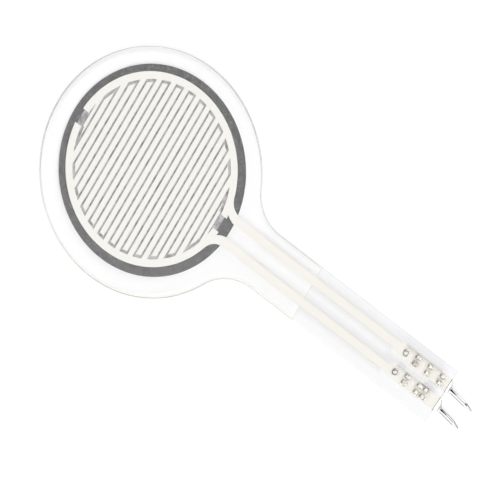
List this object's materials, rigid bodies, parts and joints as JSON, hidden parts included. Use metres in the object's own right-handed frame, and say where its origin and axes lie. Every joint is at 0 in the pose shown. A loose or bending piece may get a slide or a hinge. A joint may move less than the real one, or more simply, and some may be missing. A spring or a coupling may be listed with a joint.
{
  "type": "thin film force sensor",
  "caption": "Round printed force sensing head with interdigitated silver combs over carbon, a flat flexible tail and crimped solder terminals.",
  "frame": {"origin": "centre of the round head at the underside of the base film", "axes": "+X from the head along the tail to the solder pins, +Z out of the sensing face"},
  "size_m": [0.0632, 0.028, 0.0027],
  "materials": {
    "cover_film": "clear polyester film",
    "base_film": "clear polyester film",
    "spacer_adhesive": "clear acrylic adhesive",
    "carbon_print": "matt screen printed carbon ink",
    "silver_print": "satin screen printed silver ink",
    "terminal_metal": "bright tin plating"
  },
  "bodies": {
    "root": {"cover_film": "cover_film", "base_film": "base_film", "spacer_adhesive": "spacer_adhesive", "carbon_disc": "carbon_print", "silver_comb_a": "silver_print", "silver_comb_b": "silver_print", "terminal_a": "terminal_metal", "terminal_b": "terminal_metal"}
  },
  "joints": []
}
